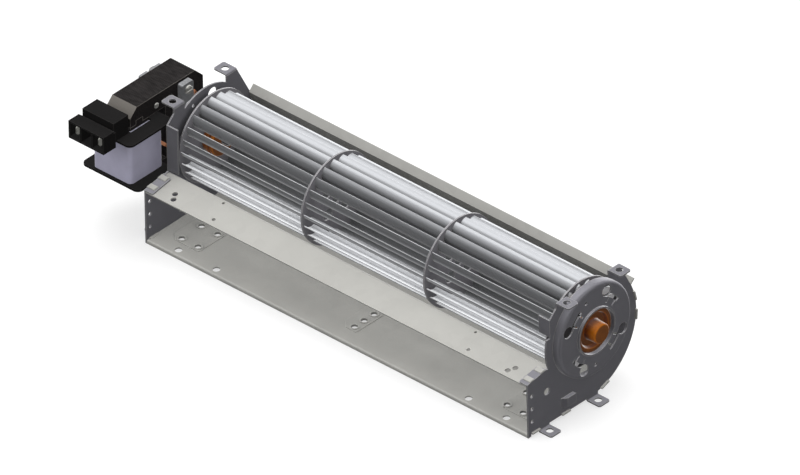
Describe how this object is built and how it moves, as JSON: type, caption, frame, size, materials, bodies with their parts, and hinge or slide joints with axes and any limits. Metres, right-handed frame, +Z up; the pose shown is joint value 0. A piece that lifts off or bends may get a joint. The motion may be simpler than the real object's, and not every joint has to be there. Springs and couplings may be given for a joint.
{
  "type": "cross flow fan",
  "caption": "Cross flow fan: a long bladed impeller in a folded sheet housing, turned by a shaded pole motor at one end and carried by a soft-mounted bearing at the other.",
  "frame": {"origin": "middle of the four foot holes, on the plane that the feet stand on", "axes": "+X along the impeller axis from the motor to the bearing end, -Y towards the outlet, +Z up"},
  "size_m": [0.3752, 0.1174, 0.0853],
  "materials": {
    "galvanised_sheet": "galvanised steel sheet, satin",
    "plate_sheet": null,
    "blade_aluminium": "bright rolled aluminium strip",
    "disc_sheet": "steel sheet, slate grey",
    "orange_rubber": "orange silicone rubber, soft gloss",
    "sintered_bronze": "oil-filled sintered bronze",
    "lamination_steel": "stacked electrical steel, dark varnish",
    "coil_tape": "lavender-grey insulating tape",
    "black_plastic": "moulded black nylon",
    "tinned_terminal": "tinned blade terminal",
    "cast_bridge": "die-cast alloy, as cast",
    "zinc_fastener": "zinc-plated steel",
    "copper_ring": "bare copper",
    "ground_shaft": "ground steel",
    "nylon_washer": "natural nylon"
  },
  "bodies": {
    "housing": {"bearing_end_plate": "plate_sheet", "bearing_rubber_mount": "orange_rubber", "bridge_nuts": "zinc_fastener", "bridge_screws": "zinc_fastener", "coil_bobbin": "black_plastic", "coil_core": "lamination_steel", "coil_winding": "coil_tape", "connector_housing": "black_plastic", "front_bearing_bridge": "cast_bridge", "front_motor_bush": "sintered_bronze", "motor_end_plate": "plate_sheet", "motor_mount_screws": "zinc_fastener", "rear_bearing_bridge": "cast_bridge", "rear_motor_bush": "sintered_bronze", "scroll_sheet": "galvanised_sheet", "shading_ring_1": "copper_ring", "shading_ring_2": "copper_ring", "sleeve_bearing": "sintered_bronze", "stack_rivets": "zinc_fastener", "stator_laminations": "lamination_steel", "terminal_tab_1": "tinned_terminal", "terminal_tab_2": "tinned_terminal", "tongue_panel": "galvanised_sheet"},
    "impeller": {"bearing_hub": "cast_bridge", "blade_01": "blade_aluminium", "blade_02": "blade_aluminium", "blade_03": "blade_aluminium", "blade_04": "blade_aluminium", "blade_05": "blade_aluminium", "blade_06": "blade_aluminium", "blade_07": "blade_aluminium", "blade_08": "blade_aluminium", "blade_09": "blade_aluminium", "blade_10": "blade_aluminium", "blade_11": "blade_aluminium", "blade_12": "blade_aluminium", "blade_13": "blade_aluminium", "blade_14": "blade_aluminium", "blade_15": "blade_aluminium", "blade_16": "blade_aluminium", "blade_17": "blade_aluminium", "blade_18": "blade_aluminium", "blade_19": "blade_aluminium", "blade_20": "blade_aluminium", "blade_21": "blade_aluminium", "blade_22": "blade_aluminium", "impeller_disc_1": "disc_sheet", "impeller_disc_2": "disc_sheet", "impeller_disc_3": "disc_sheet", "impeller_disc_4": "disc_sheet", "motor_rotor": "lamination_steel", "motor_shaft": "ground_shaft", "shaft_coupling": "orange_rubber", "stub_shaft": "ground_shaft", "thrust_washers": "nylon_washer"}
  },
  "joints": [
    {"name": "impeller_spin", "type": "hinge", "parent": "housing", "child": "impeller", "pos_m": [0, 0.0193, 0.053], "axis": [-1, 0, 0], "continuous": true}
  ]
}
